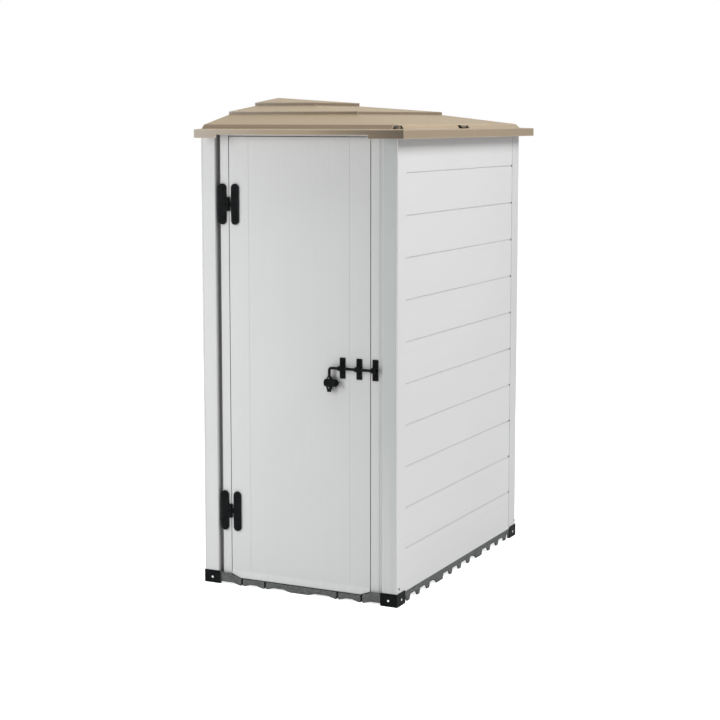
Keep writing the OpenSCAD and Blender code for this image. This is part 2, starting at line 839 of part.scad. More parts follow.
// The sloped drip edge along the door's bottom
module drip_edge() {
    intersection() {
        translate([0, face_y + e, 0]) rotate([90, 0, 0]) linear_extrude(drip_out + e) door_outline();
        translate([-door_half, face_y, door_bottom]) rotate([90, 0, 90]) linear_extrude(2 * door_half)
            polygon([[e, 0], [e, drip_h], [0, drip_h], [-drip_out, 0]]);
    }
}

// What is cut away for the sloped strip along the door's top
module top_slope() {
    translate([-door_half - e, face_y, door_top]) rotate([90, 0, 90])
        linear_extrude(2 * (door_half + e))
            polygon([[-e, -top_slope_h], [0, -top_slope_h], [top_slope_in, 0], [top_slope_in, e], [-e, e]]);
}

module door_panel() {
    color("gainsboro") difference() {
        union() {
            translate([0, jamb_back, 0]) rotate([90, 0, 0]) linear_extrude(jamb_d) door_outline();
            drip_edge();
        }
        door_pockets();
        top_slope();
        for (side = [-1, 1]) fine_groove(side * fine_x);
        hinge_screw_places(1) screw_hole();
        saddle_screw_places([guide_inner_x, guide_outer_x]) screw_hole();
    }
}

// Hinges

// Side -1 is the jamb's leaf and side 1 the door's
module hinge_screw_places(side) {
    for (z = [hinge_low_z, hinge_high_z], dz = [-leaf_screw_z, 0, leaf_screw_z])
        facing_front(hinge_x + side * (leaf_off + leaf_w / 2), face_y - leaf_t, z + dz) children();
}

// Flat part of a leaf with round ends, and the arm to its knuckles
module leaf_plate(side, z, knuckles) {
    x0 = leaf_off;
    r = leaf_w / 2;
    on_side(side) translate([side * hinge_x, face_y, z]) {
        rotate([90, 0, 0]) linear_extrude(leaf_t) {
            area([x0, -leaf_h / 2 + r], [x0 + leaf_w, leaf_h / 2 - r]);
            for (s = [-1, 1]) translate([x0 + r, s * (leaf_h / 2 - r)]) circle(r);
        }
        for (k = knuckles)
            box([0, hinge_y - face_y, k], [x0 + e, -knuckle_gap, k + knuckle_one]);
    }
}

module hinge_leaf(side, z) {
    step = knuckle_one + knuckle_step;
    knuckles = side < 0 ? [-knuckle_h / 2, -knuckle_h / 2 + 2 * step] : [-knuckle_h / 2 + step];
    color("black") difference() {
        union() {
            leaf_plate(side, z, knuckles);
            for (k = knuckles) translate([hinge_x, hinge_y, z + k]) cylinder(r = knuckle_r, h = knuckle_one);
        }
        translate([hinge_x, hinge_y, z - knuckle_h]) cylinder(r = pin_r + pin_clear, h = 2 * knuckle_h);
        hinge_screw_places(side) screw_hole();
    }
}

module hinge_pin(z) {
    color("dimgray") translate([hinge_x, hinge_y, z]) {
        translate([0, 0, -knuckle_h / 2]) cylinder(r = pin_r, h = knuckle_h);
        translate([0, 0, knuckle_h / 2]) cylinder(r = pin_head_r, h = pin_head_h);
    }
}

module hinge_screws(side) {
    color("black") hinge_screw_places(side) screw();
}

// Bolt

module saddle_screw_places(places) {
    for (x = places, s = [-1, 1])
        facing_front(x, face_y - saddle_t, bolt_z + s * saddle_screw_z) children();
}

// A saddle plate: a flat plate and a strap that carries the rod over it
module saddle(x, clear) {
    inner = rod_r + clear;
    outer = inner + strap_t;
    reach = face_y - rod_y;
    color("black") difference() {
        translate([x - saddle_w / 2, face_y, bolt_z]) rotate([90, 0, 90]) linear_extrude(saddle_w)
            difference() {
                union() {
                    area([-saddle_t, -saddle_h / 2], [0, saddle_h / 2]);
                    area([-reach, -outer], [0, outer]);
                    translate([-reach, 0]) circle(outer);
                }
                area([-reach - inner, -inner], [-saddle_t, inner]);
            }
        saddle_screw_places([x]) screw_hole();
    }
}

module saddle_screws(places) {
    color("black") saddle_screw_places(places) screw();
}

module bolt_rod() {
    color("black") translate([0, rod_y, bolt_z]) rotate([0, 90, 0]) {
        translate([0, 0, rod_start - spigot_l]) cylinder(r = spigot_r, h = spigot_l + e);
        translate([0, 0, rod_start]) cylinder(r = rod_r, h = rod_tip - tip_taper - rod_start);
        translate([0, 0, rod_tip - tip_taper])
            cylinder(r1 = rod_r, r2 = rod_r - tip_taper, h = tip_taper);
    }
}

// Outline of the diamond plate, centred on the grip
module diamond_outline() {
    w = diamond_w / 2;
    end = diamond_end / 2;
    polygon([[-end, -diamond_down], [end, -diamond_down], [w, -diamond_waist], [w, diamond_waist],
        [end, diamond_up], [-end, diamond_up], [-w, diamond_waist], [-w, -diamond_waist]]);
}

module bolt_arm() {
    color("black") difference() {
        translate([0, rod_y, bolt_z]) {
            translate([rod_start - arm_stub, 0, 0]) rotate([0, 90, 0]) cylinder(r = rod_r, h = arm_stub);
            translate([arm_x + bend_r, 0, -bend_r]) rotate([90, 0, 0])
                rotate([0, 0, 90]) rotate_extrude(angle = 90) translate([bend_r, 0]) circle(rod_r);
            translate([arm_x, 0, -grip_drop]) cylinder(r = rod_r, h = grip_drop - bend_r);
            translate([arm_x, diamond_t / 2, -grip_drop]) rotate([90, 0, 0])
                linear_extrude(diamond_t) diamond_outline();
        }
        translate([rod_start - spigot_l - spigot_end, rod_y, bolt_z]) rotate([0, 90, 0])
            cylinder(r = spigot_r + spigot_clear, h = spigot_l + spigot_end + e);
        rivet_places() translate([0, 0, -diamond_t - e])
            cylinder(r = screw_r, h = diamond_t + 2 * e);
    }
}

module bolt_grip() {
    slot_x = diamond_w / 2 + diamond_clear;
    slot_y = diamond_t / 2 + diamond_clear;
    color("black") difference() {
        translate([arm_x - grip_left, rod_y, grip_z]) rotate([0, 90, 0]) {
            cylinder(r = grip_r, h = grip_l - grip_taper);
            translate([0, 0, grip_l - grip_taper])
                cylinder(r1 = grip_r, r2 = grip_r - grip_taper, h = grip_taper);
        }
        translate([arm_x - slot_x, rod_y - slot_y, grip_z - grip_r - e])
            cube([2 * slot_x, 2 * slot_y, 2 * (grip_r + e)]);
    }
}

module rivet_places() {
    for (s = [-1, 1]) facing_front(arm_x, rod_y - diamond_t / 2, grip_z + s * rivet_up) children();
}

module bolt_rivets() {
    color("gray") rivet_places() {
        cylinder(r = rivet_r, h = rivet_h);
        translate([0, 0, -diamond_t]) cylinder(r = screw_r, h = diamond_t);
    }
}

// Roof

// Height profile of the roof, as distance from the apex line and height above the walls.
// in is how far the profile is moved inwards and down
function roof_profile(d1, d2, eaves, lean, edge, in) = [
    [0, apex_rise - in],
    [d1 - in, tier_1_rise - in], [d1 - in, tier_1_rise - tier_1_step - in],
    [d2 - in, tier_2_rise - in], [d2 - in, tier_2_rise - tier_2_step - in],
    [eaves - lean - in, tier_3_rise - in], [eaves - in, in > 0 ? 0 : eaves_rise],
    [edge - in, in > 0 ? 0 : roof_t], [edge - in, -fascia_drop - (in > 0 ? e : 0)]
];

function mirrored(p) = [for (i = [len(p) - 1:-1:1]) [-p[i][0], p[i][1]]];

// Front and rear slopes, as a prism along x
module slopes_y(in) {
    half = roof_profile(tier_1_y, tier_2_y, eaves_y, lean_y, edge_y, in);
    end = in > 0 ? e : 0;
    translate([-half_w - end, 0, wall_top]) rotate([90, 0, 90])
        linear_extrude(edge_x + half_w + 2 * end) polygon(concat(mirrored(half), half));
}

// Right slope, as a prism along y
module slope_x(in) {
    half = roof_profile(tier_1_x, tier_2_x, eaves_x + half_w, lean_x, edge_x + half_w, in);
    low = half[len(half) - 1][1];
    end = in > 0 ? e : 0;
    translate([-half_w, edge_y + end, wall_top]) rotate([90, 0, 0])
        linear_extrude(2 * (edge_y + end))
            polygon(concat([[-end, low], [-end, half[0][1]]], half));
}

// The solid roof, before it is hollowed
module roof_mass(in) {
    intersection() {
        slopes_y(in);
        slope_x(in);
    }
}

// The rib under the shell that sits on the walls' top
module seat_rib() {
    intersection() {
        roof_mass(0);
        difference() {
            box([-half_w, rib_y, wall_top], [rib_x, -rib_y, apex_z]);
            box([-half_w - e, rib_y + roof_t, wall_top - e], [rib_x - roof_t, -rib_y - roof_t, apex_z + e]);
        }
    }
}

// The upright flange along the joint of the two halves
module joint_flange(side) {
    intersection() {
        roof_mass(0);
        box([-half_w + gable_t, min(side * roof_seam / 2, side * (roof_seam / 2 + roof_t)), wall_top],
            [rib_x, max(side * roof_seam / 2, side * (roof_seam / 2 + roof_t)), apex_z]);
    }
}

// The windows in the lowest tier's steep edge, one over the joint and one round the front corner
module clip_windows() {
    low = wall_top + eaves_rise;
    box([rib_x, -window_w / 2, low], [eaves_x + e, window_w / 2, window_top]);
    box([eaves_x - corner_front, -eaves_y - e, low], [eaves_x + e, corner_y, window_top]);
    box([rib_x, -eaves_y - e, low], [eaves_x + e, -eaves_y + corner_side, window_top]);
}

// The wall at the back of the corner window, on which the corner clip sits
module corner_seat() {
    box([eaves_x - corner_front - roof_t, corner_y, wall_top],
        [rib_x, corner_y + roof_t, wall_top + tier_3_rise]);
}

// Side -1 is the front half and side 1 the rear half
module roof_half(side) {
    y0 = side < 0 ? -edge_y - e : roof_seam / 2;
    y1 = side < 0 ? -roof_seam / 2 : edge_y + e;
    color("tan") difference() {
        union() {
            intersection() {
                union() {
                    difference() {
                        roof_mass(0);
                        roof_mass(roof_t);
                    }
                    seat_rib();
                    corner_seat();
                }
                box([-half_w - e, y0, fascia_z - e], [edge_x + e, y1, apex_z + e]);
            }
            joint_flange(side);
        }
        box([-notch_half, -edge_y - e, fascia_z - e],
            [notch_half, -edge_y + roof_t + e, fascia_z + notch_rise]);
        clip_windows();
        gable_space();
        roof_clip_screw_places() screw_hole();
    }
}

// Outline of the space under the roof's left end
module gable_outline() {
    half = roof_profile(tier_1_y, tier_2_y, eaves_y, lean_y, edge_y, roof_t);
    inner = [for (i = [0:6]) half[i]];
    polygon(concat(mirrored(inner), inner));
}

// Keeps the seat rib out of the gable panel's place
module gable_space() {
    translate([-half_w - e, 0, wall_top]) rotate([90, 0, 90])
        linear_extrude(gable_t + e) gable_outline();
}

// The closing panel under the roof's left end
module gable_panel() {
    color("tan") translate([-half_w, 0, wall_top]) rotate([90, 0, 90])
        linear_extrude(gable_t) gable_outline();
}

// The cross beam under the joint of the two halves
module roof_beam() {
    reach = half_w - wall_t;
    color("silver") difference() {
        box([-reach, -beam_w / 2, wall_top - beam_h], [reach, beam_w / 2, wall_top]);
        box([-reach - e, -beam_w / 2 + beam_wall, wall_top - beam_h + beam_wall],
            [reach + e, beam_w / 2 - beam_wall, wall_top - beam_wall]);
    }
}

// The clip over the joint: a block with a round lower edge on the seat rib
module roof_clip_side() {
    round_r = (pow(clip_w / 2, 2) + pow(clip_drop, 2)) / (2 * clip_drop);
    color("tan") translate([rib_x, 0, window_top - clip_clear]) rotate([90, 0, 90])
        linear_extrude(eaves_x - clip_in - rib_x) intersection() {
            translate([0, round_r - clip_drop]) circle(round_r, $fn = 180);
            area([-clip_w / 2, -clip_drop], [clip_w / 2, 0]);
        }
}

// The clip round the corner of the seat at the back of the corner window
module roof_clip_corner() {
    front = corner_y - corner_clip_t;
    color("tan") difference() {
        translate([0, 0, clip_low]) linear_extrude(corner_clip_h) {
            area([eaves_x - corner_front + corner_front_gap, front], [rib_x, corner_y]);
            intersection() {
                area([rib_x, front], [rib_x + corner_clip_t, corner_y]);
                translate([rib_x, corner_y]) circle(corner_clip_t);
            }
            area([rib_x, corner_y], [rib_x + corner_clip_t, -eaves_y + corner_side - corner_rear_gap]);
        }
        roof_clip_screw_places() screw_hole();
    }
}

module roof_clip_screw_places() {
    facing_front(rib_x - corner_screw_in, corner_y - corner_clip_t, clip_low + corner_clip_h / 2)
        children();
}

module roof_clip_screws() {
    color("silver") roof_clip_screw_places() screw();
}

// Assembly

for (r = [0:floor_rows - 1], c = [0, 1])
    floor_tile(r, c);
for (i = [0:3])
    foot_bracket(i % 2 == 0 ? -1 : 1, i < 2 ? -1 : 1);
front_post(-1);  // post_front_left
front_post(1);  // post_front_right
rear_post(-1);  // post_rear_left
rear_post(1);  // post_rear_right
foot_bracket_screws();
post_screws();
jamb(-1);  // jamb_left
jamb(1);  // jamb_right
head_rail();
side_wall(1);  // wall_right
side_wall(-1);  // wall_left
wall_rear();
gable_panel();
roof_beam();
roof_half(-1);  // roof_front
roof_half(1);  // roof_rear
roof_clip_side();
roof_clip_corner();
roof_clip_screws();
door_panel();
hinge_leaf(-1, hinge_high_z);  // hinge_upper_jamb_leaf
hinge_leaf(-1, hinge_low_z);  // hinge_lower_jamb_leaf
hinge_leaf(1, hinge_high_z);  // hinge_upper_door_leaf
hinge_leaf(1, hinge_low_z);  // hinge_lower_door_leaf
hinge_pin(hinge_high_z);  // hinge_upper_pin
hinge_pin(hinge_low_z);  // hinge_lower_pin
hinge_screws(-1);  // hinge_jamb_screws
hinge_screws(1);  // hinge_door_screws
saddle(guide_inner_x, guide_clear);  // bolt_guide_inner
saddle(guide_outer_x, guide_clear);  // bolt_guide_outer
saddle_screws([guide_inner_x, guide_outer_x]);  // bolt_guide_screws
saddle(keeper_x, keeper_clear);  // bolt_keeper
saddle_screws([keeper_x]);  // bolt_keeper_screws
bolt_rod();
bolt_arm();
bolt_grip();
bolt_rivets();
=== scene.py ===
# %% [markdown]
# # A resin garden shed
#
# The shed stands alone on a tiled plastic floor. Its walls, posts and door are pale
# moulded resin, its roof is taupe resin in three stepped tiers, and the hinges and the
# bolt are black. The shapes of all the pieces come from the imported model, which stays as
# it is. This lesson sets the camera, makes each finish from nodes, softens the edges,
# because a moulded edge is never quite sharp, and sets the floor and the light.

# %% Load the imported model
import json
import math

import bpy
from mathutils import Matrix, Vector

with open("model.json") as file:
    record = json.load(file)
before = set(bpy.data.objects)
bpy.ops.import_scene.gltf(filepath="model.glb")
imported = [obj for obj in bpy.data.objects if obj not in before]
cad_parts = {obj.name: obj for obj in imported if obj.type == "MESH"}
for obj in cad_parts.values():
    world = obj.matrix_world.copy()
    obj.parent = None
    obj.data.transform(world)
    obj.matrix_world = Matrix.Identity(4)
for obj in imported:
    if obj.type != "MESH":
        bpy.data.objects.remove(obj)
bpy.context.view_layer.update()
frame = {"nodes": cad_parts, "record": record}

# %% [markdown]
# ## The camera
#
# The photograph was taken at eye height, well to the right of the door, with a long lens.
# The camera stands nearly seven metres away, at 1.80 m. In the photograph the uprights of
# the shed are almost upright, as they are when a lens is shifted instead of tilted. A large
# shift would push the shed out of the other views, so the camera has a small shift and a
# tilt of six and a half degrees, which comes within a few pixels of it.

# %% Camera
sensor_width = 36.0  # millimetres
lens_length = 83.47  # millimetres
lens_shift = -0.0667  # of the picture's width
eye = (2.9342, -6.0745, 1.7972)  # metres
tilt_down = 6.58  # degrees
turn_left = 26.08  # degrees

scene = bpy.context.scene
camera_data = bpy.data.cameras.new("camera")
camera_data.sensor_width = sensor_width
camera_data.lens = lens_length
camera_data.shift_y = lens_shift
camera = bpy.data.objects.new("camera", camera_data)
camera.location = eye
camera.rotation_euler = (math.radians(90 - tilt_down), 0.0, math.radians(turn_left))
scene.collection.objects.link(camera)
scene.camera = camera
scene.view_settings.view_transform = "Standard"
print("camera at", eye, "with a lens of", lens_length, "mm")

# %% [markdown]
# ## How a finish starts
#
# Each finish of the shed is one Principled BSDF with a few textures in front of it. What is
# the same all over a surface is set on the shader itself: how rough it is, whether it is
# metal, and how much it mirrors. What changes from place to place comes from nodes.


# %% Start a finish
def new_finish(name, roughness, metallic=0.0, gloss=0.5):
    finish = bpy.data.materials.new(name)
    finish.use_nodes = True
    shader = finish.node_tree.nodes["Principled BSDF"]
    shader.inputs["Roughness"].default_value = roughness
    shader.inputs["Metallic"].default_value = metallic
    shader.inputs["Specular IOR Level"].default_value = gloss
    return finish, shader


def tell(finish):
    print(finish.name, "is made of", len(finish.node_tree.nodes), "nodes")


# %% [markdown]
# ## Patterns without pictures
#
# Resin drifts in colour, zinc is cloudy and plastic has a grain. A painted picture could
# show that, but it has to be unwrapped onto each piece, and it blurs in a close view. A
# noise is worked out at every point instead. It is read in the piece's own coordinates, in
# metres, so it has a real size, and it stays on the door when the door swings.


# %% Noise
def noise(finish, scale, stretch=(1, 1, 1), detail=3.0):
    nodes, links = finish.node_tree.nodes, finish.node_tree.links
    place = nodes.new("ShaderNodeTexCoord")
    mapping = nodes.new("ShaderNodeMapping")
    mapping.inputs["Scale"].default_value = stretch
    texture = nodes.new("ShaderNodeTexNoise")
    texture.inputs["Scale"].default_value = scale
    texture.inputs["Detail"].default_value = detail
    links.new(place.outputs["Object"], mapping.inputs["Vector"])
    links.new(mapping.outputs["Vector"], texture.inputs["Vector"])
    return texture.outputs["Fac"]


# %% [markdown]
# ## From patterns to colours
#
# Three helpers mix the colours. The first makes a colour darker or lighter, the second
# turns a pattern into two tones, and the third lays one colour over another as far as a
# mask says. A colour for the third may be plain, or the result of the layer before. A
# noise seldom leaves the range from 0.3 to 0.7, so most patterns are spread over that.

# %% Tones and layers
pattern_low = 0.3
pattern_high = 0.7


def shade(colour, amount):
    return tuple(min(1.0, c * amount) for c in colour)


def two_tone(finish, pattern, low, high, dark, light):
    nodes, links = finish.node_tree.nodes, finish.node_tree.links
    colours = nodes.new("ShaderNodeValToRGB")
    colours.color_ramp.elements[0].position = low
    colours.color_ramp.elements[1].position = high
    colours.color_ramp.elements[0].color = (*dark, 1)
    colours.color_ramp.elements[1].color = (*light, 1)
    links.new(pattern, colours.inputs["Fac"])
    return colours.outputs["Color"]


def blend_colours(finish, mask, first, second):
    nodes, links = finish.node_tree.nodes, finish.node_tree.links
    mix = nodes.new("ShaderNodeMix")
    mix.data_type = "RGBA"
    links.new(mask, mix.inputs["Factor"])
    for socket, colour in ((mix.inputs["A"], first), (mix.inputs["B"], second)):
        if isinstance(colour, tuple):
            socket.default_value = (*colour, 1)
        else:
            links.new(colour, socket)
    return mix.outputs["Result"]


# %% [markdown]
# ## Relief
#
# The grain of a mould is too fine to build from faces. A Bump node bends the light on the
# surface as if the grain were there. It goes onto the shader, or onto another Bump node,
# which is how a piece gets streaks and a grain at once.


# %% Relief
def relief(finish, onto, height, depth):
    nodes, links = finish.node_tree.nodes, finish.node_tree.links
    bump = nodes.new("ShaderNodeBump")
    bump.inputs["Distance"].default_value = depth
    links.new(height, bump.inputs["Height"])
    links.new(bump.outputs["Normal"], onto.inputs["Normal"])
    return bump


# %% [markdown]
# ## Masks from values
#
# A mask says where a layer shows. Most masks start as a plain measure, such as a height
# above the ground. Map Range fades such a measure in from one value to another, or out,
# when the second value is the lower one. Two masks multiplied show where both hold.


# %% Fade and overlap
def ramp_between(finish, value, start, end, most=1.0):
    fade = finish.node_tree.nodes.new("ShaderNodeMapRange")
    fade.inputs["From Min"].default_value = start
    fade.inputs["From Max"].default_value = end
    fade.inputs["To Max"].default_value = most
    finish.node_tree.links.new(value, fade.inputs["Value"])
    return fade.outputs["Result"]


def times(finish, first, second):
    product = finish.node_tree.nodes.new("ShaderNodeMath")
    product.operation = "MULTIPLY"
    finish.node_tree.links.new(first, product.inputs[0])
    finish.node_tree.links.new(second, product.inputs[1])
    return product.outputs["Value"]


# %% [markdown]
# ## Worn and lit edges
#
# Handling rubs moulded edges a little lighter than the faces. On the resin the lighter edge
# is partly that wear and partly a painted highlight, and on the roof it is a painted
# highlight, standing for the line of light that a rounded edge catches. A Bevel node gives
# the normal that a rounded edge would have. Where that turns away from the surface's own
# normal, there is an edge. Their dot product is 1 on a flat face, and falls towards an edge.
# This works on any mesh without a painted picture, so every finish can share it.


# %% Edge mask
def edge_mask(finish, width, begin=0.02, full=0.25):
    nodes, links = finish.node_tree.nodes, finish.node_tree.links
    rounded = nodes.new("ShaderNodeBevel")
    rounded.samples = 4
    rounded.inputs["Radius"].default_value = width
    surface = nodes.new("ShaderNodeNewGeometry")
    alike = nodes.new("ShaderNodeVectorMath")
    alike.operation = "DOT_PRODUCT"
    links.new(rounded.outputs["Normal"], alike.inputs[0])
    links.new(surface.outputs["Normal"], alike.inputs[1])
    return ramp_between(finish, alike.outputs["Value"], 1 - begin, 1 - full)


# %% [markdown]
# ## Painted shade in the corners
#
# Shade falls where two faces meet, under a step of the roof or in a groove, and this mask
# paints it in as a darker colour. The Ambient Occlusion node finds such corners from any
# side: it measures how open the space over a point is. It takes in the neighbouring pieces
# too.

# %% Corner mask
open_face = 0.95
deep_corner = 0.35


# Painted shade: a darker colour wherever faces close in round a point.
def corner_shade_mask(finish, reach, most=0.6):
    closed = finish.node_tree.nodes.new("ShaderNodeAmbientOcclusion")
    closed.samples = 6
    closed.inputs["Distance"].default_value = reach
    return ramp_between(finish, closed.outputs["AO"], open_face, deep_corner, most)


# %% [markdown]
# ## Where light and shade are painted
#
# Light falls on some faces and places more than on others, and some finishes paint that in.
# Two helpers find them: one gives the direction that a face looks in, the other a point's
# place on the shed. Both belong to the piece and not to the view, so the painted light and
# shade stays put from every side.


# %% Direction and place
def face_direction(finish):
    nodes, links = finish.node_tree.nodes, finish.node_tree.links
    geometry = nodes.new("ShaderNodeNewGeometry")
    split = nodes.new("ShaderNodeSeparateXYZ")
    links.new(geometry.outputs["True Normal"], split.inputs["Vector"])
    return split.outputs


def place_on_shed(finish):
    nodes, links = finish.node_tree.nodes, finish.node_tree.links
    place = nodes.new("ShaderNodeTexCoord")
    split = nodes.new("ShaderNodeSeparateXYZ")
    links.new(place.outputs["Object"], split.inputs["Vector"])
    return split.outputs


# %% [markdown]
# ## The pale resin
#
# Walls, posts and door are made of the same kind of matt resin, in slightly different
# greys. The resin flows along the mould, which leaves very faint streaks, and the mould
# leaves a fine grain. The colour drifts a little over a large panel. A slow noise makes the
# drift, a long thin one the streaks, and a fine one the grain. One recipe serves all these
# pieces, so that they look like one family, and each piece gives its own colour and its own
# painted light and shade: painted shade in corners and grooves and along creases, lighter
# edges that are partly wear and partly a painted highlight, and a painted pale foot.
#
# The tones of the corner shade, the lighter edges and the creases are given as shares of the
# resin's brightness: a corner shade of 0.25 is a quarter as bright. Widths and depths are in
# metres.

# %% Pale resin
resin_roughness = 0.5
resin_gloss = 0.25
drift_scale = 2.5
upright_streaks = (60, 60, 1.2)
level_streaks = (60, 1.2, 60)
streak_tone = 0.975
streak_depth = 0.0004
mould_grain = 700.0
mould_depth = 0.00015
rubbed_width = 0.003


def resin(name, colour, corner_shade_reach, corner_shade_tone, streaks=upright_streaks, drift=0.02, rubbed=1.1,
          crease_shade_tone=None, lit_foot_colour=None, lit_foot_fade=None):
    finish, shader = new_finish(name, resin_roughness, gloss=resin_gloss)
    drifted = two_tone(finish, noise(finish, drift_scale), pattern_low, pattern_high,
                       shade(colour, 1 - drift), shade(colour, 1 + drift))
    # Painted light near the ground: on the door a painted highlight on the drip edge, on the
    # right front post painted light bounced up from the floor.
    if lit_foot_colour:
        lit_foot_mask = ramp_between(finish, place_on_shed(finish)["Z"], *lit_foot_fade)
        drifted = blend_colours(finish, lit_foot_mask, drifted, lit_foot_colour)
    streak = noise(finish, 1.0, streaks, detail=4.0)
    streaked = blend_colours(finish, streak, drifted, shade(colour, streak_tone))
    # Painted shade: darker in corners and grooves.
    corners = corner_shade_mask(finish, corner_shade_reach)
    corner_shaded = blend_colours(finish, corners, streaked, shade(colour, corner_shade_tone))
    # Lighter edges: partly wear, partly a painted highlight.
    edges = edge_mask(finish, rubbed_width)
    with_edges = blend_colours(finish, edges, corner_shaded, shade(colour, rubbed))
    # Painted shade along shallow creases.
    if crease_shade_tone:
        crease_shade_mask = edge_mask(finish, rubbed_width, begin=0.004, full=0.08)
        with_edges = blend_colours(finish, crease_shade_mask, with_edges, shade(colour, crease_shade_tone))
    finish.node_tree.links.new(with_edges, shader.inputs["Base Color"])
    grain = relief(finish, shader, noise(finish, mould_grain, detail=2.0), mould_depth)
    relief(finish, grain, streak, streak_depth)
    tell(finish)
    return finish


# %% [markdown]
# ## The walls
#
# The wall panels are the palest pieces. Level grooves make them look like boards. Painted
# shade darkens the grooves and draws a thin grey line along each groove's shallow edge. The
# common edge mask is too coarse for such an edge, so the painted crease shade gets its own
# mask, which answers to a smaller bend.

# %% Wall resin
# Painted shade in the grooves and along their shallow edges.
wall_resin = resin("wall_resin", (0.70, 0.70, 0.70), corner_shade_reach=0.02, corner_shade_tone=0.25,
                   streaks=level_streaks, crease_shade_tone=0.82)

# %% [markdown]
# ## The posts and rails
#
# Posts, jambs and head rail are a little greyer than the walls. The groove between a post
# and its jamb is deep and lies in shade, so the painted shade in their corners is darker
# than on the walls, and its mask looks further, three centimetres. The right front post has
# its own darker, slightly greener copy of the frame resin: painted shade for the shade that
# lies on it. From 0.75 m above the ground down to 0.2 m it grows paler, as painted light
# bounced up from the floor, and its edges are lighter, as a painted highlight.

# %% Frame resin
frame_resin = resin("frame_resin", (0.65, 0.655, 0.655), corner_shade_reach=0.03, corner_shade_tone=0.12, drift=0.03)
# A shaded copy of the frame resin: painted shade, a painted pale foot and painted edge
# highlights.
shaded_frame_resin = resin("shaded_frame_resin", (0.54, 0.565, 0.56), corner_shade_reach=0.03, corner_shade_tone=0.3,
                         drift=0.04, rubbed=1.3,
                         lit_foot_colour=(0.69, 0.69, 0.69), lit_foot_fade=(0.75, 0.2))

# %% [markdown]
# ## The door
#
# The door leaf has the frame's grey and an upright crease on each side of its plain field,
# darkened with painted shade. Along its foot runs a drip edge, painted pale as a painted
# highlight. The fade is only seven millimetres high, so that the pale strip ends where the
# drip edge ends.

# %% Door resin
# Painted shade in the creases and corners, painted highlight on the drip edge.
door_resin = resin("door_resin", (0.65, 0.655, 0.655), corner_shade_reach=0.02, corner_shade_tone=0.3, crease_shade_tone=0.82,
                   lit_foot_colour=(0.74, 0.75, 0.745), lit_foot_fade=(0.061, 0.054))

# %% [markdown]
# ## The roof's slopes and eaves
#
# The roof is taupe and matt. Its slopes, which face up, are painted darker, as painted shade
# for how the light falls on them, and the steep strip above the eaves is painted browner
# still, as painted shade. How far a face's normal points up tells the two apart: it is above
# 0.97 on the slopes, and between 0.75 and 0.8 on the strip.

# %% Slopes and eaves
taupe = (0.435, 0.338, 0.238)
slope_shade_taupe = (0.262, 0.204, 0.131)
strip_shade_brown = (0.165, 0.122, 0.082)
slope_fade = (0.92, 0.97)
strip_fade_in = (0.60, 0.66)
strip_fade_out = (0.92, 0.86)


# Painted shade: up-facing slopes darker, the steep strip browner.
def shade_slopes(finish, colour):
    upward = face_direction(finish)["Z"]
    slope = ramp_between(finish, upward, *slope_fade)
    slope_shaded = blend_colours(finish, slope, colour, slope_shade_taupe)
    strip = times(finish, ramp_between(finish, upward, *strip_fade_in),
                  ramp_between(finish, upward, *strip_fade_out))
    return blend_colours(finish, strip, slope_shaded, strip_shade_brown)


# %% [markdown]
# ## The roof's fascias
#
# The fascia is the upright rim round the roof. On the long side it is painted duller than in
# front, as painted shade. The front one gets painted light at its left end and painted shade
# towards its right end, where it darkens to grey. The direction of a face picks the fascia,
# and its place from left to right sets the fade. The place is in metres from the middle of
# the shed.

# %% Fascias
# Painted shade on the long side and at the right end, painted light at the left end of the
# front.
long_side_shade_taupe = (0.315, 0.248, 0.172)
left_end_light_taupe = (0.42, 0.372, 0.315)
right_end_shade_grey = (0.055, 0.05, 0.04)
facing_right = (0.8, 0.95)
facing_front = (-0.8, -0.95)
left_end_fade = (-0.05, -0.42)
right_end_fade = (0.05, 0.62)


def shade_fascias(finish, colour):
    facing = face_direction(finish)
    across = place_on_shed(finish)["X"]
    long_side = ramp_between(finish, facing["X"], *facing_right)
    shaded = blend_colours(finish, long_side, colour, long_side_shade_taupe)
    in_front = ramp_between(finish, facing["Y"], *facing_front)
    left_end = times(finish, in_front, ramp_between(finish, across, *left_end_fade))
    left_end_lit = blend_colours(finish, left_end, shaded, left_end_light_taupe)
    right_end = times(finish, in_front, ramp_between(finish, across, *right_end_fade))
    return blend_colours(finish, right_end, left_end_lit, right_end_shade_grey)


# %% [markdown]
# ## The roof's resin
#
# Under the painted light and shade, the taupe is cloudy, with long streaks that run along
# the ridge. Painted shade lies dark under the steps of the tiers, and the edges get a pale
# sand-coloured painted highlight. The layers go on in this order: resin, painted light and
# shade by facing and place, painted shade under the steps, painted highlight on the edges.
# The roof halves, the clips in their eaves and the gable panel under them share this finish.

# %% Roof resin
roof_cloud_scale = 5.0
streak_taupe = (0.3312, 0.2668, 0.184)
# Painted shade under the steps and a painted highlight on the edges.
step_shade_colour = (0.10, 0.085, 0.062)
edge_highlight_taupe = (0.58, 0.50, 0.39)
roof_streaks = (2.0, 90, 90)
roof_grain = 500.0
roof_grain_depth = 0.00012
roof_streak_depth = 0.0006
step_reach = 0.03
roof_highlight_width = 0.005


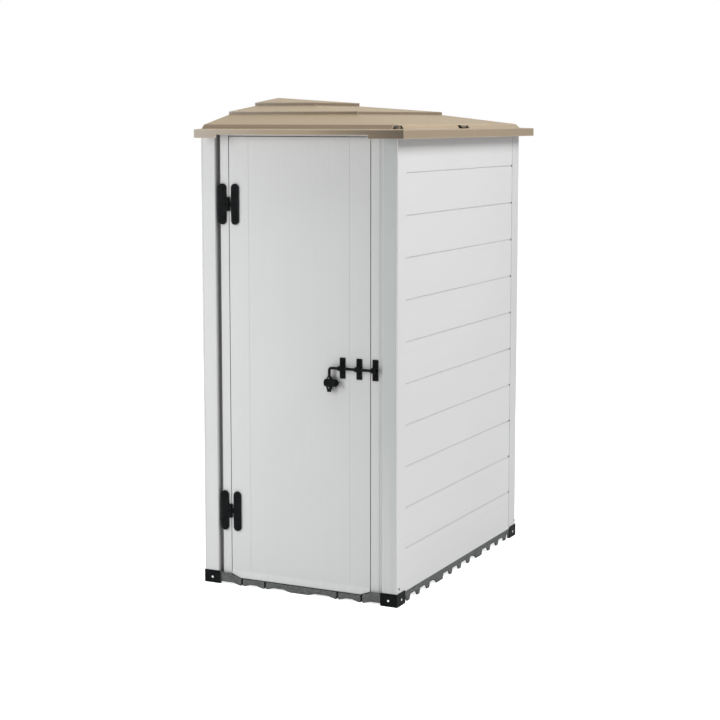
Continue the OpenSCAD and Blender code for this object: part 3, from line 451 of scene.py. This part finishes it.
def roof_finish():
    finish, shader = new_finish("roof_resin", roughness=0.5, gloss=0.15)
    cloudy = two_tone(finish, noise(finish, roof_cloud_scale, detail=4.0), pattern_low, 0.72,
                      shade(taupe, 0.9), shade(taupe, 1.08))
    streak = noise(finish, 1.0, roof_streaks, detail=4.0)
    streaked = blend_colours(finish, streak, cloudy, streak_taupe)
    facing_shaded = shade_fascias(finish, shade_slopes(finish, streaked))
    # Painted shade under the steps of the tiers.
    under_steps = corner_shade_mask(finish, step_reach, most=0.85)
    corner_shaded = blend_colours(finish, under_steps, facing_shaded, step_shade_colour)
    # Painted highlight along the edges.
    with_edges = blend_colours(finish, edge_mask(finish, roof_highlight_width), corner_shaded, edge_highlight_taupe)
    finish.node_tree.links.new(with_edges, shader.inputs["Base Color"])
    grain = relief(finish, shader, noise(finish, roof_grain, detail=2.0), roof_grain_depth)
    relief(finish, grain, streak, roof_streak_depth)
    tell(finish)
    return finish


roof_resin = roof_finish()

# %% [markdown]
# ## The floor's resin
#
# The floor tiles look like recycled resin: dark grey, coarse and mottled with lighter
# specks. Two noises of different size make the mottle, and the same noises give a rough
# skin, so that a light speck is also a small bump. The specks come in as a mask that is
# half strong at most.

# %% Floor resin
floor_grey = (0.105, 0.112, 0.108)
no_speck = (0.0, 0.0, 0.0)
half_speck = (0.5, 0.5, 0.5)
blotch_scale = 90.0
blotch_depth = 0.0015
speck_scale = 420.0
speck_depth = 0.0005
floor_rubbed_width = 0.002


def floor_finish():
    finish, shader = new_finish("floor_resin", roughness=0.72, gloss=0.2)
    blotch = noise(finish, blotch_scale, detail=6.0)
    mottled = two_tone(finish, blotch, 0.32, pattern_high,
                       shade(floor_grey, 0.68), shade(floor_grey, 1.35))
    speck = noise(finish, speck_scale, detail=2.0)
    speck_mask = two_tone(finish, speck, 0.5, 0.72, no_speck, half_speck)
    speckled = blend_colours(finish, speck_mask, mottled, shade(floor_grey, 1.9))
    edges = edge_mask(finish, floor_rubbed_width)
    with_edges = blend_colours(finish, edges, speckled, shade(floor_grey, 1.8))
    finish.node_tree.links.new(with_edges, shader.inputs["Base Color"])
    skin = relief(finish, shader, speck, speck_depth)
    relief(finish, skin, blotch, blotch_depth)
    tell(finish)
    return finish


floor_resin = floor_finish()

# %% [markdown]
# ## The black fittings
#
# The hinges, the foot brackets, and the grip and straps of the bolt are black plastic with
# a fine pebble grain. The screws of the hinges and straps are as black, and share it. The
# bolt's rod and arm are steel under a black coat, a little smoother, with the coat rubbed
# thin on its edges. Both finishes reflect little, so that they stay black in bright light.
# Pure black would look like a hole in the picture, so the colour is a very dark grey that
# varies a little.

# %% Black plastic and black coat
near_black = (0.007, 0.0075, 0.008)
black_cloud_scale = 40.0
pebble_scale = 1400.0
black_rubbed_width = 0.0012


def black_finish(name, roughness, gloss, pebble_depth, rubbed):
    finish, shader = new_finish(name, roughness, gloss=gloss)
    cloud = noise(finish, black_cloud_scale)
    cloudy = two_tone(finish, cloud, pattern_low, pattern_high,
                      shade(near_black, 0.7), shade(near_black, 1.5))
    with_edges = blend_colours(finish, edge_mask(finish, black_rubbed_width), cloudy, rubbed)
    finish.node_tree.links.new(with_edges, shader.inputs["Base Color"])
    relief(finish, shader, noise(finish, pebble_scale, detail=2.0), pebble_depth)
    tell(finish)
    return finish


black_plastic = black_finish("black_plastic", roughness=0.55, gloss=0.03,
                             pebble_depth=0.00025, rubbed=(0.022, 0.022, 0.024))
black_coat = black_finish("black_coat", roughness=0.42, gloss=0.05,
                          pebble_depth=0.00008, rubbed=(0.036, 0.036, 0.036))

# %% [markdown]
# ## The metals
#
# The screws in the foot brackets are bright zinc, and the beam inside is galvanised, with
# the cloudy spangle that zinc leaves on steel. The four screws low on the posts, the rivets
# of the bolt and the screws of the roof's clips are darker, and the pins of the hinges are
# almost black. A metal's colour tints all that it mirrors, so the same recipe with a darker
# colour gives a darker metal that still glints.

# %% Metals
upright_marks = (1, 1, 0.15)
mark_scale = 1500.0
mark_depth = 0.00004
metal_rubbed_width = 0.0006


def metal(name, colour, roughness, cloud_scale, dark=0.8):
    finish, shader = new_finish(name, roughness, metallic=1.0)
    cloud = noise(finish, cloud_scale, detail=4.0)
    cloudy = two_tone(finish, cloud, pattern_low, pattern_high,
                      shade(colour, dark), shade(colour, 1.1))
    edges = edge_mask(finish, metal_rubbed_width)
    with_edges = blend_colours(finish, edges, cloudy, shade(colour, 1.2))
    finish.node_tree.links.new(with_edges, shader.inputs["Base Color"])
    relief(finish, shader, noise(finish, mark_scale, stretch=upright_marks), mark_depth)
    tell(finish)
    return finish


bright_zinc = metal("bright_zinc", (0.66, 0.67, 0.68), roughness=0.34, cloud_scale=160.0)
dark_zinc = metal("dark_zinc", (0.10, 0.10, 0.105), roughness=0.45, cloud_scale=160.0)
pin_metal = metal("pin_metal", (0.035, 0.035, 0.037), roughness=0.4, cloud_scale=160.0)
galvanised = metal("galvanised_steel", (0.52, 0.53, 0.54), roughness=0.42,
                   cloud_scale=70.0, dark=0.65)

# %% [markdown]
# ## Each piece gets its finish
#
# The imported record names a material slot for each piece. Most slots have one finish. Some
# screws look darker than the others, and the right front post has the shaded copy of the
# frame resin, painted darker for the shade on it, so these pieces are named one by one.

# %% Give each piece its finish
finish_of_slot = {
    "wall_plastic": wall_resin,
    "frame_plastic": frame_resin,
    "door_plastic": door_resin,
    "roof_plastic": roof_resin,
    "floor_plastic": floor_resin,
    "black_plastic": black_plastic,
    "black_metal": black_coat,
    "pin_steel": pin_metal,
    "screw_steel": bright_zinc,
    "beam_steel": galvanised,
}
own_finish = {
    "post_screws": dark_zinc,
    "bolt_rivets": dark_zinc,
    "roof_clip_screws": dark_zinc,
    "post_front_right": shaded_frame_resin,
}
slot_of = {s["node"]: s["material_slot"] for s in frame["record"]["subparts"]}
for name, piece in frame["nodes"].items():
    piece.data.materials.clear()
    piece.data.materials.append(own_finish.get(name, finish_of_slot[slot_of[name]]))
print("finished", len(slot_of), "pieces")

# %% [markdown]
# ## Soft edges
#
# No moulded edge is quite sharp. Its small radius catches a line of light, and that line is
# what makes plastic look like plastic. The model's edges are sharp, and its flat faces are
# cut into long thin triangles. Rounded edges could be modelled one by one, but four
# modifiers do the same for a whole piece at once:
#
# - Weld joins the faces at their corners;
# - Decimate, set to planar, makes one face of the triangles that lie in one plane;
# - Bevel rounds the edges that are steeper than 35 degrees;
# - Weighted Normal shades by the largest face at each corner, so that a flat panel beside a
#   small curve stays flat, with no slanted streaks along the old triangles.
#
# The radius, in metres, fits the piece: wide on the roof and the posts, fine on the
# fittings. The slot of the steel screws and rivets has none, because they are so small that
# a rounded edge wouldn't show.

# %% Round the edges
edge_radius = {
    "wall_plastic": 0.0007,
    "frame_plastic": 0.0012,
    "door_plastic": 0.0012,
    "roof_plastic": 0.0019,
    "floor_plastic": 0.0006,
    "black_plastic": 0.0008,
    "black_metal": 0.0006,
    "pin_steel": 0.0003,
    "beam_steel": 0.0006,
}
same_corner = 0.00001
same_plane = math.radians(0.2)
sharp_edge = math.radians(35)


def soften(piece, radius):
    weld = piece.modifiers.new("join_faces", "WELD")
    weld.merge_threshold = same_corner
    flat = piece.modifiers.new("one_face_per_plane", "DECIMATE")
    flat.decimate_type = "DISSOLVE"
    flat.angle_limit = same_plane
    rounded = piece.modifiers.new("soft_edge", "BEVEL")
    rounded.width = radius
    rounded.segments = 2
    rounded.limit_method = "ANGLE"
    rounded.angle_limit = sharp_edge
    rounded.use_clamp_overlap = True
    shaded = piece.modifiers.new("flat_panels", "WEIGHTED_NORMAL")
    shaded.mode = "FACE_AREA"
    shaded.weight = 100


for name, piece in frame["nodes"].items():
    if slot_of[name] in edge_radius:
        soften(piece, edge_radius[slot_of[name]])
print("softened", sum(bool(p.modifiers) for p in frame["nodes"].values()), "pieces")

# %% [markdown]
# ## White only to the eye
#
# The shed stands on a white floor in front of nothing else. White paper in a studio needs so
# much light that a pale wall beside it burns out. So the floor and the sky are white only
# where a ray comes from the eye, straight, mirrored or through glass, and to all other
# light they are plain. Light Path tells these rays apart.


# %% Rays that see white
def rays_of_the_eye(nodes, links):
    path = nodes.new("ShaderNodeLightPath")
    straight_or_mirrored = nodes.new("ShaderNodeMath")
    straight_or_mirrored.operation = "MAXIMUM"
    links.new(path.outputs["Is Camera Ray"], straight_or_mirrored.inputs[0])
    links.new(path.outputs["Is Glossy Ray"], straight_or_mirrored.inputs[1])
    any_of_them = nodes.new("ShaderNodeMath")
    any_of_them.operation = "MAXIMUM"
    links.new(straight_or_mirrored.outputs["Value"], any_of_them.inputs[0])
    links.new(path.outputs["Is Transmission Ray"], any_of_them.inputs[1])
    return any_of_them.outputs["Value"]


def white_to_the_eye(nodes, links, plain, white):
    mixed = nodes.new("ShaderNodeMixShader")
    links.new(rays_of_the_eye(nodes, links), mixed.inputs[0])
    links.new(plain.outputs[0], mixed.inputs[1])
    links.new(white.outputs[0], mixed.inputs[2])
    return mixed.outputs["Shader"]


# %% [markdown]
# ## The studio floor
#
# The floor is one very large square, so that its edge is far away. To the eye it is white
# paper that also glows. The lamps still light it, so the shed's shadow stays on it. To all
# other light it is plain paper without the glow.

# %% Studio floor
paper_plain = (0.8, 0.8, 0.8, 1)
paper_white = (0.92, 0.92, 0.92, 1)
paper_glow = 0.8
half_floor = 40.0


def white_floor():
    finish = bpy.data.materials.new("white_floor")
    finish.use_nodes = True
    nodes, links = finish.node_tree.nodes, finish.node_tree.links
    nodes.clear()
    output = nodes.new("ShaderNodeOutputMaterial")
    plain = nodes.new("ShaderNodeBsdfDiffuse")
    plain.inputs["Color"].default_value = paper_plain
    painted = nodes.new("ShaderNodeBsdfDiffuse")
    painted.inputs["Color"].default_value = paper_white
    glow = nodes.new("ShaderNodeEmission")
    glow.inputs["Strength"].default_value = paper_glow
    bright = nodes.new("ShaderNodeAddShader")
    links.new(painted.outputs[0], bright.inputs[0])
    links.new(glow.outputs[0], bright.inputs[1])
    links.new(white_to_the_eye(nodes, links, plain, bright), output.inputs["Surface"])
    return finish


floor_mesh = bpy.data.meshes.new("studio_floor")
corners = [(x * half_floor, y * half_floor, 0) for x, y in ((-1, -1), (1, -1), (1, 1), (-1, 1))]
floor_mesh.from_pydata(corners, [], [(0, 1, 2, 3)])
studio_floor = bpy.data.objects.new("studio_floor", floor_mesh)
scene.collection.objects.link(studio_floor)
floor_mesh.materials.append(white_floor())
print("floor:", 2 * half_floor, "m square")

# %% [markdown]
# ## The sky
#
# The sky gives an even, weak light from all sides, as a big white tent does. To the eye it
# is plain white, which is the backdrop of the picture.

# %% Sky
sky_strength = 0.3
sky_white = (1, 1, 1, 1)

world = bpy.data.worlds.new("studio")
scene.world = world
world.use_nodes = True
sky_nodes, sky_links = world.node_tree.nodes, world.node_tree.links
sky_nodes.clear()
sky_output = sky_nodes.new("ShaderNodeOutputWorld")
sky_light = sky_nodes.new("ShaderNodeBackground")
sky_light.inputs["Color"].default_value = sky_white
sky_light.inputs["Strength"].default_value = sky_strength
sky_seen = sky_nodes.new("ShaderNodeBackground")
sky_seen.inputs["Color"].default_value = sky_white
sky_links.new(white_to_the_eye(sky_nodes, sky_links, sky_light, sky_seen),
              sky_output.inputs["Surface"])
print("sky strength:", sky_strength)

# %% [markdown]
# ## The lamps
#
# Four lamps shape the shed. Each is a rectangle, 0.7 to 2.4 m on a side, because a large
# lamp makes a soft shadow and a broad, quiet highlight:
#
# - the key lamp stands in front on the left, and lights the door and the post beside it;
# - the side lamp hangs on the right, and makes the long wall the brightest face;
# - the top lamp lies over the roof, and brings out its steps;
# - the back lamp stands behind on the left, for whoever walks round the shed.
#
# The side and back lamps would show as a white bar in the roof, so glossy rays miss them.


# %% Lamps
def lamp(name, place, target, width, height, power):
    data = bpy.data.lights.new(name, "AREA")
    data.shape = "RECTANGLE"
    data.size = width
    data.size_y = height
    data.energy = power
    lamp_object = bpy.data.objects.new(name, data)
    lamp_object.location = place
    direction = Vector(target) - Vector(place)
    lamp_object.rotation_euler = direction.to_track_quat("-Z", "Y").to_euler()
    lamp_object.visible_camera = False
    scene.collection.objects.link(lamp_object)
    return lamp_object


lamp("key_lamp", place=(-1.8, -2.5, 1.5), target=(0.0, -0.6, 0.9),
     width=0.7, height=2.4, power=43)
side_lamp = lamp("side_lamp", place=(3.4, -0.6, 4.4), target=(0.4, 0.0, 0.9),
                 width=1.2, height=2.0, power=145)
lamp("top_lamp", place=(0.0, -0.5, 5.0), target=(0.0, 0.0, 1.8),
     width=2.0, height=2.0, power=80)
back_lamp = lamp("back_lamp", place=(-3.2, 3.8, 2.6), target=(0.0, 0.3, 0.9),
                 width=2.4, height=2.4, power=110)
for quiet_lamp in (side_lamp, back_lamp):
    quiet_lamp.visible_glossy = False
